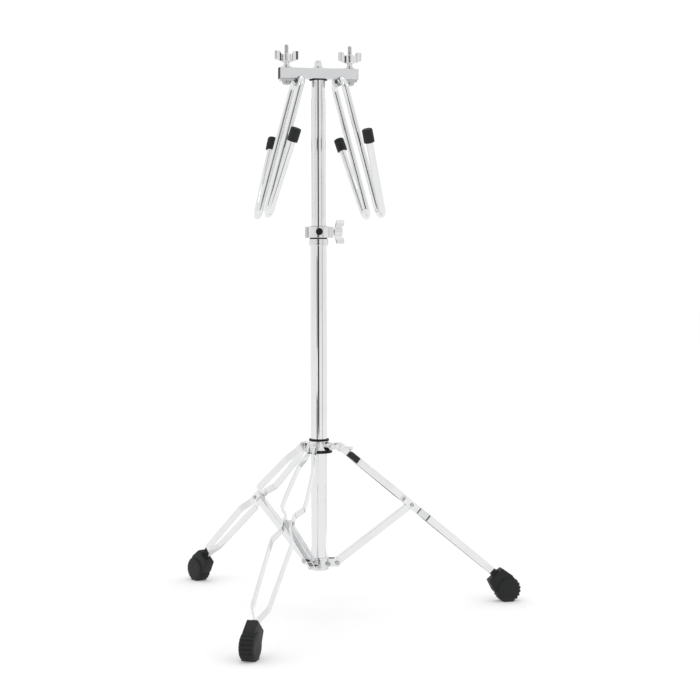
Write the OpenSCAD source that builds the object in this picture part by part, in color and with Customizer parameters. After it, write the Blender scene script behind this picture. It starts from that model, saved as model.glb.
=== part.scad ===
// Drum cradle stand on a folding double-braced tripod. All lengths are in millimetres.
// The floor is z = 0 and the column stands on the Z axis.
// X runs along the head bar and along leg 1; legs 2 and 3 follow at 120 and 240 degrees.

/* [Column] */
// outside diameter of the lower tube
base_tube_d = 28.6; // [28.4:0.1:28.8]
// outside diameter of the upper tube
upper_tube_d = 25.4; // [25.2:0.1:25.6]
// height of the lower tube's bottom end above the floor
base_tube_low = 72; // [68:1:74]
// height of the lower tube's top end above the floor
base_tube_top = 643; // [641:0.5:644]
// height of the upper tube's top end above the floor
upper_tube_top = 882; // [860:1:890]

/* [Tripod] */
// radius of the leg pivots from the column axis
leg_pivot_r = 36; // [35:0.5:38]
// height of the leg pivots
leg_pivot_z = 287; // [280:1:295]
// slope of the legs below the horizontal, in degrees
leg_slope = 39.8; // [39:0.1:41]
// distance from a leg pivot to the rivet that pinches the leg's two strips
pinch_at = 167; // [160:1:172]
// radius of the brace pivots from the column axis
brace_pivot_r = 30; // [29:0.5:31]
// height of the brace pivots
brace_pivot_z = 84; // [82:0.5:86]
// width of the leg strips
strip_w = 12.7; // [12:0.1:13.5]
// thickness of the leg strips
strip_t = 3; // [2.5:0.1:3]

/* [Feet] */
// radius from the column axis to the middle of each foot's disc
foot_r = 343; // [341:0.5:344]
// radius of the ribbed foot disc over its ribs
foot_disc_r = 23.2; // [22.5:0.1:24]
// width of the ribbed foot disc
foot_disc_w = 25.2; // [23:0.2:26]

/* [Head] */
// length of the head bar without its end plugs
bar_len = 135; // [132:0.5:150]
// height of the head bar's underside
bar_low = 915.5; // [915:0.5:917]
// outside width and height of the square head bar
bar_w = 19; // [18:0.5:20]
// distance from the column axis to each clamp bolt
bolt_x = 55; // [53:1:57]

/* [Cradle arms] */
// rod diameter of the cradle arms
rod_d = 12; // [11.5:0.1:12]
// distance from the column axis to each arm's pivot axis
arm_pivot_x = 35; // [34:0.5:36]
// distance from the middle of an arm to the centre of each long leg
arm_half_w = 38; // [36:1:42]
// depth of an arm from its pivot to the lowest centre line
arm_depth = 237; // [230:1:250]
// outward splay of the arms from the vertical, in degrees
arm_splay = 15.2; // [14:0.1:18]
// outward flare of the short arm ends, in degrees
end_flare = 16.3; // [12:0.1:18]

/* [Hidden] */

$fn = 48;

// radial play of a running fit, and the gap left between parts that move past each other
play = 0.05;
gap = 0.3;

base_r = base_tube_d / 2;
upper_r = upper_tube_d / 2;
upper_bore_r = 11.5;
upper_tube_low = 400;

// the rivets, and how far the ears, lugs, strips and braces lie from the middle of a leg
rivet_r = 2.5;
brace_half_w = 5.5;
ear_in = brace_half_w + gap;
ear_t = 3;
collar_lug_t = 7.4;
strip_top_mid = collar_lug_t / 2 + gap + strip_t / 2;
pinch_mid = ear_in + strip_t / 2;
wide_mid = 19.4;
low_wide_mid = 18.3;

// the brace runs from its bracket pivot to the pinch rivet
pinch_r = leg_pivot_r + pinch_at * cos(leg_slope);
pinch_z = leg_pivot_z - pinch_at * sin(leg_slope);
brace_len = norm([pinch_r - brace_pivot_r, pinch_z - brace_pivot_z]);
brace_rise = atan2(pinch_z - brace_pivot_z, pinch_r - brace_pivot_r);
brace_depth = 12.5;
brace_wall = 1.5;

// centre line of one leg strip: distance down the leg, then distance from the leg's middle
strip_end = 390;
strip_path = [
  [-strip_w / 2, strip_top_mid],
  [18, strip_top_mid],
  [42, 13.3],
  [pinch_at - 50, wide_mid],
  [pinch_at - 30, wide_mid],
  [pinch_at - 16, pinch_mid],
  [pinch_at + 16, pinch_mid],
  [pinch_at + 37, low_wide_mid],
  [340, 14],
  [366, strip_t / 2 + 0.1],
  [strip_end, strip_t / 2 + 0.1]
];

// height of the middle of a foot's disc
foot_z = 21.5;

// the small screw on the lower bracket's side
bracket_screw_x = 13;
bracket_screw_r = 1.5;

collar_low = 280;
collar_top = 297;
collar_r = 17;
ring_h = 3.5;
// direction of the collar's wing screw, its height, and how far it has been turned
screw_turn = -52;
screw_z = 289;
screw_spin = -8;

// the height clamp: its lower ring, the slit above that, the body, the lugs, the bolt and the button
clamp_turn = -7;
clamp_low = 633;
clamp_slit = 644.5;
clamp_body = 646.6;
clamp_top = 666;
clamp_lug_left = 22;
clamp_lug_right = 26.3;
clamp_bolt_y = 18;
clamp_bolt_z = 657;
clamp_bolt_r = 3;
clamp_bore_r = 15;
button_r = 5.5;

// the head bar with its stud and clamp bolts
bar_top = bar_low + bar_w;
bar_wall = 2;
bar_inner = bar_w - 2 * bar_wall;
spigot_washer_h = 1.5;
stud_r = 4;
bolt_r = 3.6;
bolt_top = 973;
right_nut_turn = 5;

rod_r = rod_d / 2;
// the arms' cross rods sit in notches cut up into the bar
arm_pivot_z = bar_low - 2;
elbow_r = 16;
hook_r = 14.5;
tip_r = 9;
tip_len = 23;
// the short end leaves the hook at this place in the arm's own plane
hook_mid = [arm_half_w + hook_r, hook_r - arm_depth];
short_from = hook_mid + hook_r * [cos(end_flare), -sin(end_flare)];
short_len = 139.5;
// the straight end is a hair thinner than the bend and reaches into it, so that the two merge
end_r = rod_r - 0.03;
bend_overlap = 0.5;

chrome = [0.80, 0.81, 0.82];
dark_chrome = [0.55, 0.56, 0.57];
rubber = [0.12, 0.13, 0.14];
nylon = [0.07, 0.07, 0.08];

// a tube along Z
module tube(outer, inner, low, high) {
  difference() {
    translate([0, 0, low]) cylinder(r = outer, h = high - low);
    translate([0, 0, low - 1]) cylinder(r = inner, h = high - low + 2);
  }
}

// a square section along Z with rounded corners
module rounded_square(side, corner) {
  inner = side - 2 * corner;
  square([side, inner], center = true);
  square([inner, side], center = true);
  for (sx = [-1, 1], sy = [-1, 1])
    translate([sx * inner / 2, sy * inner / 2]) circle(r = corner);
}

// puts its children on leg n, with X running outward along that leg
module on_leg(n) {
  rotate([0, 0, 120 * (n - 1)]) children();
}

// puts its children at a leg pivot, with X running down the leg
module leg_axes() {
  translate([leg_pivot_r, 0, leg_pivot_z]) rotate([0, leg_slope, 0]) children();
}

// puts its children at a brace pivot, with X running up the brace
module brace_axes() {
  translate([brace_pivot_r, 0, brace_pivot_z]) rotate([0, -brace_rise, 0]) children();
}

// a cylinder along Y, centred on the origin
module cross_pin(r, len) {
  rotate([90, 0, 0]) cylinder(r = r, h = len, center = true);
}

// a rivet along Y with a bevelled head on each side of the stack it holds
module rivet(half_stack, head_r, head_h) {
  cross_pin(rivet_r, 2 * half_stack);
  for (s = [0, 1]) mirror([0, s, 0])
    translate([0, half_stack, 0]) rotate([-90, 0, 0])
      cylinder(r1 = head_r, r2 = head_r * 0.65, h = head_h);
}

// a flat lug standing in one leg's plane, reaching from the column to a pivot
module lug(pivot_r, pivot_z, thick, round_r, low, high) {
  root_r = 9;
  rotate([90, 0, 0]) linear_extrude(height = thick, center = true) {
    translate([pivot_r, pivot_z]) circle(r = round_r);
    translate([root_r, low]) square([pivot_r - root_r, high - low]);
  }
}

// a wing nut along Z, resting on z = 0; its hub reaches full width at waist_h above a narrow waist
module wing_nut_shape(hub_r, hub_h, waist_h, half_span, wing_low, wing_top, wing_t, bore) {
  difference() {
    union() {
      cylinder(r = hub_r * 0.8, h = waist_h * 0.27);
      translate([0, 0, waist_h * 0.27]) cylinder(r1 = hub_r * 0.6, r2 = hub_r, h = waist_h * 0.73);
      translate([0, 0, waist_h]) cylinder(r = hub_r, h = hub_h - waist_h);
      for (s = [0, 1]) mirror([s, 0, 0])
        translate([0, wing_t / 2, 0]) rotate([90, 0, 0])
          linear_extrude(height = wing_t)
            polygon([
              [hub_r - 2.5, waist_h * 0.85], [hub_r - 1, waist_h * 0.85],
              [half_span - 1.5, wing_low], [half_span, wing_low + 1.5],
              [half_span, wing_top - 1], [half_span - 1, wing_top],
              [half_span - 8.5, wing_top], [hub_r + 1, hub_h * 0.9], [hub_r - 2.5, hub_h * 0.9]
            ]);
    }
    translate([0, 0, -1]) cylinder(r = bore, h = hub_h + 4);
  }
}

// ---- column and lower bracket ----

module base_tube() {
  wall = 1.3;
  color(chrome) tube(base_r, base_r - wall, base_tube_low, base_tube_top);
}

module lower_bracket() {
  color(chrome) difference() {
    union() {
      tube(17.5, base_r, 74, 94);
      for (n = [1, 2, 3], side = [-1, 1]) on_leg(n) translate([0, side * (ear_in + ear_t / 2), 0])
        lug(brace_pivot_r, brace_pivot_z, ear_t, 7, 77.5, 91);
      translate([bracket_screw_x, -9, brace_pivot_z]) cross_pin(4.5, 12);
    }
    translate([0, 0, 60]) cylinder(r = base_r, h = 50);
    for (n = [1, 2, 3]) on_leg(n)
      translate([brace_pivot_r, 0, brace_pivot_z]) cross_pin(rivet_r, 30);
    translate([bracket_screw_x, -20, brace_pivot_z]) cross_pin(bracket_screw_r, 26);
  }
}

module bracket_screw() {
  color(dark_chrome) translate([bracket_screw_x, 0, brace_pivot_z]) {
    translate([0, -16.2, 0]) cross_pin(3.4, 2.4);
    translate([0, -13, 0]) cross_pin(bracket_screw_r, 4);
  }
}

module bracket_rivet(n) {
  color(chrome) on_leg(n) translate([brace_pivot_r, 0, brace_pivot_z])
    rivet(ear_in + ear_t, 4, 1.8);
}

// ---- height clamp ----

// turns its children to the clamp's bolt, with X along the bolt and Y away from the black button
module clamp_axes() {
  rotate([0, 0, clamp_turn]) children();
}

module height_clamp() {
  body_h = clamp_top - clamp_body;
  color(chrome) clamp_axes() difference() {
    union() {
      tube(16.7, base_r, clamp_low, clamp_body + 1);
      tube(17.4, base_r, clamp_body, clamp_top);
      translate([-clamp_lug_left, 8, clamp_body])
        cube([clamp_lug_left + clamp_lug_right, 16, body_h]);
    }
    translate([0, 0, base_tube_top]) cylinder(r = clamp_bore_r, h = 30);
    translate([0, 0, clamp_low - 1]) cylinder(r = base_r, h = 20);
    translate([-2, 8, clamp_slit]) cube([4, 30, clamp_top + 1 - clamp_slit]);
    translate([-20, -20, clamp_slit]) cube([40, 28, clamp_body - clamp_slit]);
    translate([0, clamp_bolt_y, clamp_bolt_z]) rotate([0, 90, 0]) {
      cylinder(r = clamp_bolt_r, h = 80, center = true);
      translate([0, 0, -clamp_lug_left - 1]) cylinder(r = 6, h = 4.5);
    }
    translate([0, -15, clamp_bolt_z]) cross_pin(button_r, 12);
  }
}

module clamp_bushing() {
  color(nylon) clamp_axes() difference() {
    union() {
      translate([0, 0, base_tube_top]) cylinder(r = clamp_bore_r, h = clamp_top + 0.5 - base_tube_top);
      translate([0, -16, clamp_bolt_z]) cross_pin(button_r, 5);
    }
    translate([0, 0, 600]) cylinder(r = upper_r + play, h = 90);
  }
}

module clamp_bolt() {
  head_h = 3.5;
  color(chrome) clamp_axes() translate([-clamp_lug_left, clamp_bolt_y, clamp_bolt_z]) rotate([0, 90, 0]) {
    cylinder(r = clamp_bolt_r, h = clamp_lug_left + clamp_lug_right + 14);
    cylinder(r = 6, h = head_h);
  }
}

module clamp_washer() {
  color(chrome) clamp_axes() translate([clamp_lug_right, clamp_bolt_y, clamp_bolt_z])
    rotate([0, 90, 0]) tube(7, clamp_bolt_r, 0, 1.2);
}

module clamp_wing_nut() {
  color(chrome) clamp_axes()
    translate([clamp_lug_right + 1.5, clamp_bolt_y, clamp_bolt_z]) rotate([0, 90, 0])
      wing_nut_shape(7, 15.5, 1.2, 20.5, 4.2, 18.5, 5, clamp_bolt_r + play);
}

// ---- sliding tripod collar ----

module tripod_collar() {
  color(chrome) difference() {
    union() {
      translate([0, 0, collar_low]) cylinder(r = collar_r, h = collar_top - collar_low);
      for (n = [1, 2, 3]) on_leg(n)
        lug(leg_pivot_r, leg_pivot_z, collar_lug_t, 6.5, 281, 292.5);
      rotate([0, 0, screw_turn]) translate([0, 0, screw_z]) rotate([0, 90, 0])
        cylinder(r = 7, h = 29);
    }
    translate([0, 0, 200]) cylinder(r = base_r + gap, h = 200);
    for (n = [1, 2, 3]) on_leg(n)
      translate([leg_pivot_r, 0, leg_pivot_z]) cross_pin(rivet_r, 40);
    rotate([0, 0, screw_turn]) translate([0, 0, screw_z]) rotate([0, 90, 0])
      cylinder(r = 3 + play, h = 60);
  }
}

module collar_top_ring() {
  color(nylon) tube(17.4, base_r + play, collar_top, collar_top + ring_h);
}

module collar_bottom_ring() {
  color(nylon) tube(23, base_r + play, collar_low - ring_h, collar_low);
}

module collar_wing_screw() {
  color(chrome) rotate([0, 0, screw_turn]) translate([0, 0, screw_z]) rotate([0, 90, 0]) {
    translate([0, 0, 15.2]) cylinder(r = 3, h = 26.8);
    translate([0, 0, 40]) rotate([0, 0, 90 + screw_spin])
      wing_nut_shape(6.5, 14, 4.2, 24, 5, 17, 6, 2.9);
    translate([0, 0, 40]) cylinder(r = 4, h = 13);
  }
}

module collar_rivet(n) {
  color(chrome) on_leg(n) translate([leg_pivot_r, 0, leg_pivot_z])
    rivet(strip_top_mid + strip_t / 2 + gap, 4, 1.8);
}

// ---- legs ----

function along(a, b) = (b - a) / norm(b - a);
function left_of(v) = [-v[1], v[0]];

// a point at distance d to the left of corner i of a path, with the corner mitred
function beside(path, i, d) =
  let (last = len(path) - 1,
       a = left_of(along(path[max(i - 1, 0)], path[max(i, 1)])),
       b = left_of(along(path[min(i, last - 1)], path[min(i + 1, last)])))
  path[i] + d * (a + b) / (1 + a * b);

module bent_strip() {
  half = strip_t / 2;
  last = len(strip_path) - 1;
  outer = [for (i = [0 : last]) beside(strip_path, i, half)];
  inner = [for (i = [last : -1 : 0]) beside(strip_path, i, -half)];
  difference() {
    intersection() {
      translate([0, 0, -strip_w / 2]) linear_extrude(height = strip_w)
        polygon(concat(outer, inner));
      rotate([90, 0, 0]) translate([0, 0, -30]) linear_extrude(height = 60) {
        circle(r = strip_w / 2);
        translate([0, -strip_w]) square([500, 2 * strip_w]);
      }
    }
    cross_pin(rivet_r + play, 60);
    translate([pinch_at, 0, 0]) cross_pin(rivet_r, 60);
  }
}

module leg_strip(n, flip) {
  color(chrome) on_leg(n) leg_axes() mirror([0, flip, 0]) bent_strip();
}

module pinch_rivets(n) {
  color(chrome) on_leg(n) leg_axes() translate([pinch_at, 0, 0])
    for (s = [0, 1]) mirror([0, s, 0])
      rotate([-90, 0, 0]) {
        translate([0, 0, ear_in]) cylinder(r = rivet_r, h = strip_t);
        translate([0, 0, ear_in + strip_t]) cylinder(r1 = 3.6, r2 = 2.3, h = 1.6);
      }
}

module foot(n) {
  ribs = 20;
  root_r = foot_disc_r - 1.8;
  step = 360 / ribs;
  outline = [
    for (i = [0 : ribs - 1])
      for (c = [[0, root_r], [0.22, foot_disc_r], [0.6, foot_disc_r], [0.82, root_r]])
        c[1] * [cos((i + c[0]) * step), sin((i + c[0]) * step)]
  ];
  color(rubber) on_leg(n) difference() {
    union() {
      translate([foot_r, foot_disc_w / 2, foot_z]) rotate([90, 0, 0])
        linear_extrude(height = foot_disc_w) polygon(outline);
      translate([foot_r - 8.5, -foot_disc_w / 2, 0]) cube([17, foot_disc_w, 8]);
      translate([0, 9.5, 0]) rotate([90, 0, 0]) linear_extrude(height = 19)
        translate([foot_r, foot_z]) polygon([
          [-36, 17], [-11, 38.5], [8.5, 25], [14, 16], [0, -10], [-18, -10], [-27, -2]
        ]);
      leg_axes() translate([367, -5, -7.5]) cube([14, 10, 15]);
    }
    translate([foot_r - 60, -40, -60]) cube([120, 80, 60]);
    leg_axes() translate([340, -strip_t - 0.1, -strip_w / 2])
      cube([strip_end - 340, 2 * strip_t + 0.2, strip_w]);
  }
}

module brace(n) {
  half = brace_depth / 2;
  color(chrome) on_leg(n) brace_axes() difference() {
    rotate([90, 0, 0]) translate([0, 0, -brace_half_w])
      linear_extrude(height = 2 * brace_half_w) {
        circle(r = half);
        translate([brace_len, 0]) circle(r = half);
        translate([0, -half]) square([brace_len, brace_depth]);
      }
    translate([-20, brace_wall - brace_half_w, -20])
      cube([brace_len + 40, 2 * (brace_half_w - brace_wall), 20 + half - brace_wall]);
    cross_pin(rivet_r + play, 30);
    translate([brace_len, 0, 0]) cross_pin(rivet_r + play, 30);
  }
}

// ---- upper tube and head ----

module upper_tube() {
  color(chrome) tube(upper_r, upper_bore_r, upper_tube_low, upper_tube_top);
}

module head_spigot() {
  neck_low = upper_tube_top + gap;
  neck_top = bar_low - spigot_washer_h;
  color(chrome) {
    translate([0, 0, 835]) cylinder(r = upper_bore_r - play, h = neck_low - 834);
    translate([0, 0, neck_low]) cylinder(r = 11.8, h = neck_top - neck_low);
    translate([0, 0, neck_top - 1]) cylinder(r = stud_r, h = bar_top + 10 - neck_top);
  }
}

module spigot_washer() {
  color(nylon) tube(15.5, stud_r, bar_low - spigot_washer_h, bar_low);
}

module head_bar() {
  color(chrome) difference() {
    translate([-bar_len / 2, 0, bar_low + bar_w / 2]) rotate([90, 0, 90])
      linear_extrude(height = bar_len) rounded_square(bar_w, 1.5);
    translate([-bar_len, bar_wall - bar_w / 2, bar_low + bar_wall])
      cube([2 * bar_len, bar_inner, bar_inner]);
    translate([0, 0, 900]) cylinder(r = stud_r, h = 60);
    for (s = [-1, 1]) {
      translate([s * bolt_x, 0, 900]) cylinder(r = bolt_r, h = 60);
      translate([s * arm_pivot_x, 0, arm_pivot_z]) cross_pin(rod_r + play, 40);
    }
  }
}

module bar_plug(s) {
  color(nylon) translate([s * bar_len / 2, 0, bar_low + bar_w / 2]) mirror([s < 0 ? 1 : 0, 0, 0]) {
    rotate([90, 0, 90]) linear_extrude(height = 0.5) rounded_square(bar_w, 1.5);
    translate([-6, -bar_inner / 2, -bar_inner / 2]) cube([6.5, bar_inner, bar_inner]);
  }
}

module centre_nut() {
  color(chrome) translate([0, 0, bar_top]) difference() {
    union() {
      cylinder(r = 8.5, h = 2.2);
      translate([0, 0, 2.2]) cylinder(r = 7.7, h = 1.3);
      translate([0, 0, 3.5]) cylinder(r = 6.8, h = 6);
      translate([0, 0, 9.5]) cylinder(r1 = 6.8, r2 = 4.3, h = 4.5);
    }
    translate([0, 0, -1]) cylinder(r = stud_r, h = 12);
  }
}

module clamp_plate(s) {
  plate_low = bar_low - 4;
  color(dark_chrome) mirror([s < 0 ? 1 : 0, 0, 0]) difference() {
    union() {
      translate([arm_pivot_x, -bar_w / 2, plate_low]) cube([bolt_x + 11 - arm_pivot_x, bar_w, 4]);
      translate([arm_pivot_x, 0, arm_pivot_z]) cross_pin(rod_r + 3, bar_w);
      translate([bolt_x, 0, plate_low - 3]) cylinder(r = 8, h = 4);
    }
    translate([arm_pivot_x, 0, arm_pivot_z]) cross_pin(rod_r + play, 40);
    translate([0, -20, bar_low]) cube([100, 40, 20]);
    translate([bolt_x, 0, 880]) cylinder(r = bolt_r, h = 60);
  }
}

module bar_bolt(s) {
  color(chrome) translate([s * bolt_x, 0, bar_low - 10]) {
    translate([0, 0, 3]) cylinder(r = bolt_r, h = bolt_top - bar_low + 7);
    cylinder(r1 = 5, r2 = 7, h = 3);
  }
}

module bar_washer(s) {
  color(chrome) translate([s * bolt_x, 0, bar_top]) {
    tube(9.5, bolt_r, 0, 1.8);
    tube(6.6, bolt_r, 1.8, 3.6);
  }
}

module head_wing_nut(s) {
  color(chrome) translate([s * bolt_x, 0, bar_top + 4]) rotate([0, 0, s > 0 ? right_nut_turn : 0])
    wing_nut_shape(7.2, 20.6, 6.2, 20.7, 9.3, 24.8, 5.5, bolt_r + play);
}

// ---- cradle arms, each bent in one plane ----

// puts its children in the plane of an arm: Y across the stand, Z up the arm from its pivot
module arm_axes(s) {
  mirror([s < 0 ? 1 : 0, 0, 0]) translate([arm_pivot_x, 0, arm_pivot_z])
    rotate([0, -arm_splay, 0]) children();
}

// one side of the bent rod for positive y: elbow, long leg, hook and short end
module rod_side() {
  translate([0, arm_half_w - elbow_r, -elbow_r]) rotate([90, 0, 90])
    rotate_extrude(angle = 90) translate([elbow_r, 0]) circle(r = rod_r);
  translate([0, arm_half_w, hook_r - arm_depth])
    cylinder(r = rod_r, h = arm_depth - hook_r - elbow_r);
  translate([0, hook_mid[0], hook_mid[1]]) rotate([90, 0, 90]) rotate([0, 0, 180])
    rotate_extrude(angle = 180 - end_flare) translate([hook_r, 0]) circle(r = rod_r);
  translate([0, short_from[0], short_from[1]]) rotate([-end_flare, 0, 0])
    translate([0, 0, -bend_overlap]) cylinder(r = end_r, h = short_len - 5 + bend_overlap);
}

module arm(s) {
  color(chrome) arm_axes(s) {
    cross_pin(rod_r, 2 * (arm_half_w - elbow_r));
    rod_side();
    mirror([0, 1, 0]) rod_side();
  }
}

module tip(s, back) {
  color(rubber) arm_axes(s) mirror([0, back > 0 ? 0 : 1, 0])
    translate([0, short_from[0], short_from[1]]) rotate([-end_flare, 0, 0])
      difference() {
        union() {
          translate([0, 0, short_len - tip_len]) cylinder(r = tip_r, h = tip_len - 3);
          translate([0, 0, short_len - 3]) cylinder(r1 = tip_r, r2 = tip_r - 2.5, h = 3);
        }
        translate([0, 0, short_len - tip_len - 1]) cylinder(r = end_r, h = tip_len - 4);
      }
}

base_tube();
lower_bracket();
bracket_screw();
bracket_rivet(1);  // bracket_rivet_1
bracket_rivet(2);  // bracket_rivet_2
bracket_rivet(3);  // bracket_rivet_3
height_clamp();
clamp_bushing();
clamp_bolt();
clamp_washer();
clamp_wing_nut();
tripod_collar();
collar_top_ring();
collar_bottom_ring();
collar_wing_screw();
collar_rivet(1);  // collar_rivet_1
collar_rivet(2);  // collar_rivet_2
collar_rivet(3);  // collar_rivet_3
leg_strip(1, 0);  // leg_strip_1_left
leg_strip(1, 1);  // leg_strip_1_right
pinch_rivets(1);  // pinch_rivets_1
foot(1);  // foot_1
brace(1);  // brace_1
leg_strip(2, 0);  // leg_strip_2_left
leg_strip(2, 1);  // leg_strip_2_right
pinch_rivets(2);  // pinch_rivets_2
foot(2);  // foot_2
brace(2);  // brace_2
leg_strip(3, 0);  // leg_strip_3_left
leg_strip(3, 1);  // leg_strip_3_right
pinch_rivets(3);  // pinch_rivets_3
foot(3);  // foot_3
brace(3);  // brace_3
upper_tube();
head_spigot();
spigot_washer();
head_bar();
bar_plug(-1);  // bar_plug_left
bar_plug(1);  // bar_plug_right
centre_nut();
clamp_plate(-1);  // clamp_plate_left
clamp_plate(1);  // clamp_plate_right
bar_bolt(-1);  // bar_bolt_left
bar_bolt(1);  // bar_bolt_right
bar_washer(-1);  // bar_washer_left
bar_washer(1);  // bar_washer_right
head_wing_nut(-1);  // wing_nut_left
head_wing_nut(1);  // wing_nut_right
arm(-1);  // arm_left
arm(1);  // arm_right
tip(-1, 0);  // tip_left_front
tip(-1, 1);  // tip_left_back
tip(1, 0);  // tip_right_front
tip(1, 1);  // tip_right_back
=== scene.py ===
import math

import bpy
from mathutils import Matrix, Vector


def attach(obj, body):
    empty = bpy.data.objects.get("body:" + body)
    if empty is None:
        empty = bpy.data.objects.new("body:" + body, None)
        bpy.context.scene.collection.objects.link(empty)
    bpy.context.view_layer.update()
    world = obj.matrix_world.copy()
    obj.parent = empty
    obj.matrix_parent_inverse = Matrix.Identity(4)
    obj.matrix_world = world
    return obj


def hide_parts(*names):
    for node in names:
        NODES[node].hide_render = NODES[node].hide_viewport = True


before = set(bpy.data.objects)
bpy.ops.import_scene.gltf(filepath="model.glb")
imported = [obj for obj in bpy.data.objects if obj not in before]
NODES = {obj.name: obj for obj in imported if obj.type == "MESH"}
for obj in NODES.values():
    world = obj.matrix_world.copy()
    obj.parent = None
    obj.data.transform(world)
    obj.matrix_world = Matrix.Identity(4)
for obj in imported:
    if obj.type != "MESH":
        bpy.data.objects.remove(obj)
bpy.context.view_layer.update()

MM = 0.001

# The stand's own sizes, in metres, as the CAD has them.
LEG_PIVOT = (0.036, 0.287)
LEG_SLOPE = math.radians(39.8)
PINCH = 0.167
STRIP_W = 0.0127
STRIP_T = 0.003
# a strip's centre line in mm: along the leg from its pivot, and out from the leg's plane
STRIP_PATH = [(-6.35, 5.5), (0, 5.5), (18, 5.5), (42, 13.3), (117, 19.4), (137, 19.4), (151, 7.3),
              (183, 7.3), (204, 18.3), (340, 14), (366, 1.6), (390, 1.6)]
BRACE_PIVOT = (0.030, 0.084)
PINCH_AT = (LEG_PIVOT[0] + PINCH * math.cos(LEG_SLOPE), LEG_PIVOT[1] - PINCH * math.sin(LEG_SLOPE))
BRACE_RISE = math.atan2(PINCH_AT[1] - BRACE_PIVOT[1], PINCH_AT[0] - BRACE_PIVOT[0])
BRACE_LEN = math.hypot(PINCH_AT[1] - BRACE_PIVOT[1], PINCH_AT[0] - BRACE_PIVOT[0])
BRACE_R, BRACE_HALF_W, BRACE_WALL = 0.00625, 0.0055, 0.0015
OUTER_SEAT, COLLAR_SEAT = 0.0088, 0.0073      # how far the rivet heads stand from the leg's plane
FOOT_R, FOOT_Z, DISC_R, DISC_W = 0.343, 0.0215, 0.0232, 0.0252
BAR_TOP = 0.9345
BOLT_X, BOLT_R, BOLT_PITCH, BOLT_THREAD_LOW, BOLT_TOP = 0.055, 0.0036, 0.00125, 0.9350, 0.9730
ARM_PIVOT = (0.035, 0.9135)
ROD_R, ARM_HALF, ARM_DEPTH, ELBOW_R, HOOK_R = 0.006, 0.038, 0.237, 0.016, 0.0145
SPLAY, FLARE = math.radians(15.2), math.radians(16.3)
SHORT_LEN, TIP_LEN, TIP_R = 0.1395, 0.023, 0.009
CLAMP_BOLT_Y, CLAMP_BOLT_Z, SCREW_Z = 0.018, 0.657, 0.289
CLAMP_TURN, SCREW_TURN, SCREW_SPIN = math.radians(-7), math.radians(-52), math.radians(-8)


# ---------------------------------------------------------------- materials

class Mat:
    """A procedural material: small helpers round a Principled shader."""

    def __init__(self, name):
        self.mat = bpy.data.materials.new(name)
        self.mat.use_nodes = True
        self.tree = self.mat.node_tree
        self.bsdf = self.tree.nodes["Principled BSDF"]
        self.coord = self.tree.nodes.new("ShaderNodeTexCoord").outputs["Object"]

    def node(self, kind, **values):
        n = self.tree.nodes.new(kind)
        for key, value in values.items():
            if key in n.inputs:
                n.inputs[key].default_value = value
            else:
                setattr(n, key, value)
        return n

    def link(self, a, b):
        self.tree.links.new(a, b)

    def noise(self, scale, detail=4.0, rough=0.55, stretch=(1, 1, 1)):
        m = self.node("ShaderNodeMapping")
        m.inputs["Scale"].default_value = stretch
        self.link(self.coord, m.inputs["Vector"])
        n = self.node("ShaderNodeTexNoise", Scale=scale, Detail=detail, Roughness=rough)
        self.link(m.outputs["Vector"], n.inputs["Vector"])
        return n.outputs["Fac"]

    def ramp(self, fac, stops):
        r = self.node("ShaderNodeValToRGB")
        el = r.color_ramp.elements
        while len(el) < len(stops):
            el.new(0.5)
        for e, (pos, value) in zip(el, stops):
            e.position = pos
            e.color = tuple(value) + (1,) if not isinstance(value, float) else (value, value, value, 1)
        self.link(fac, r.inputs["Fac"])
        return r.outputs["Color"]

    def span(self, fac, lo, hi, a=0.0, b=1.0):
        m = self.node("ShaderNodeMapRange")
        m.inputs["From Min"].default_value = a
        m.inputs["From Max"].default_value = b
        m.inputs["To Min"].default_value = lo
        m.inputs["To Max"].default_value = hi
        self.link(fac, m.inputs["Value"])
        return m.outputs["Result"]

    def math(self, op, a, b):
        m = self.node("ShaderNodeMath", operation=op)
        for i, v in enumerate((a, b)):
            if isinstance(v, (int, float)):
                m.inputs[i].default_value = v
            else:
                self.link(v, m.inputs[i])
        return m.outputs["Value"]

    def mix(self, fac, a, b):
        m = self.node("ShaderNodeMix", data_type="RGBA")
        self.link(fac, m.inputs["Factor"])
        for socket, v in (("A", a), ("B", b)):
            target = [s for s in m.inputs if s.name == socket and s.type == "RGBA"][0]
            if isinstance(v, tuple):
                target.default_value = v + (1,)
            else:
                self.link(v, target)
        return [s for s in m.outputs if s.type == "RGBA"][0]

    def bumps(self, pairs):
        """pairs of (height, distance in metres, strength), one bump node on top of the other."""
        last = None
        for height, distance, strength in pairs:
            b = self.node("ShaderNodeBump", Distance=distance, Strength=strength)
            self.link(height, b.inputs["Height"])
            if last is not None:
                self.link(last, b.inputs["Normal"])
            last = b.outputs["Normal"]
        self.link(last, self.bsdf.inputs["Normal"])


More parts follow.
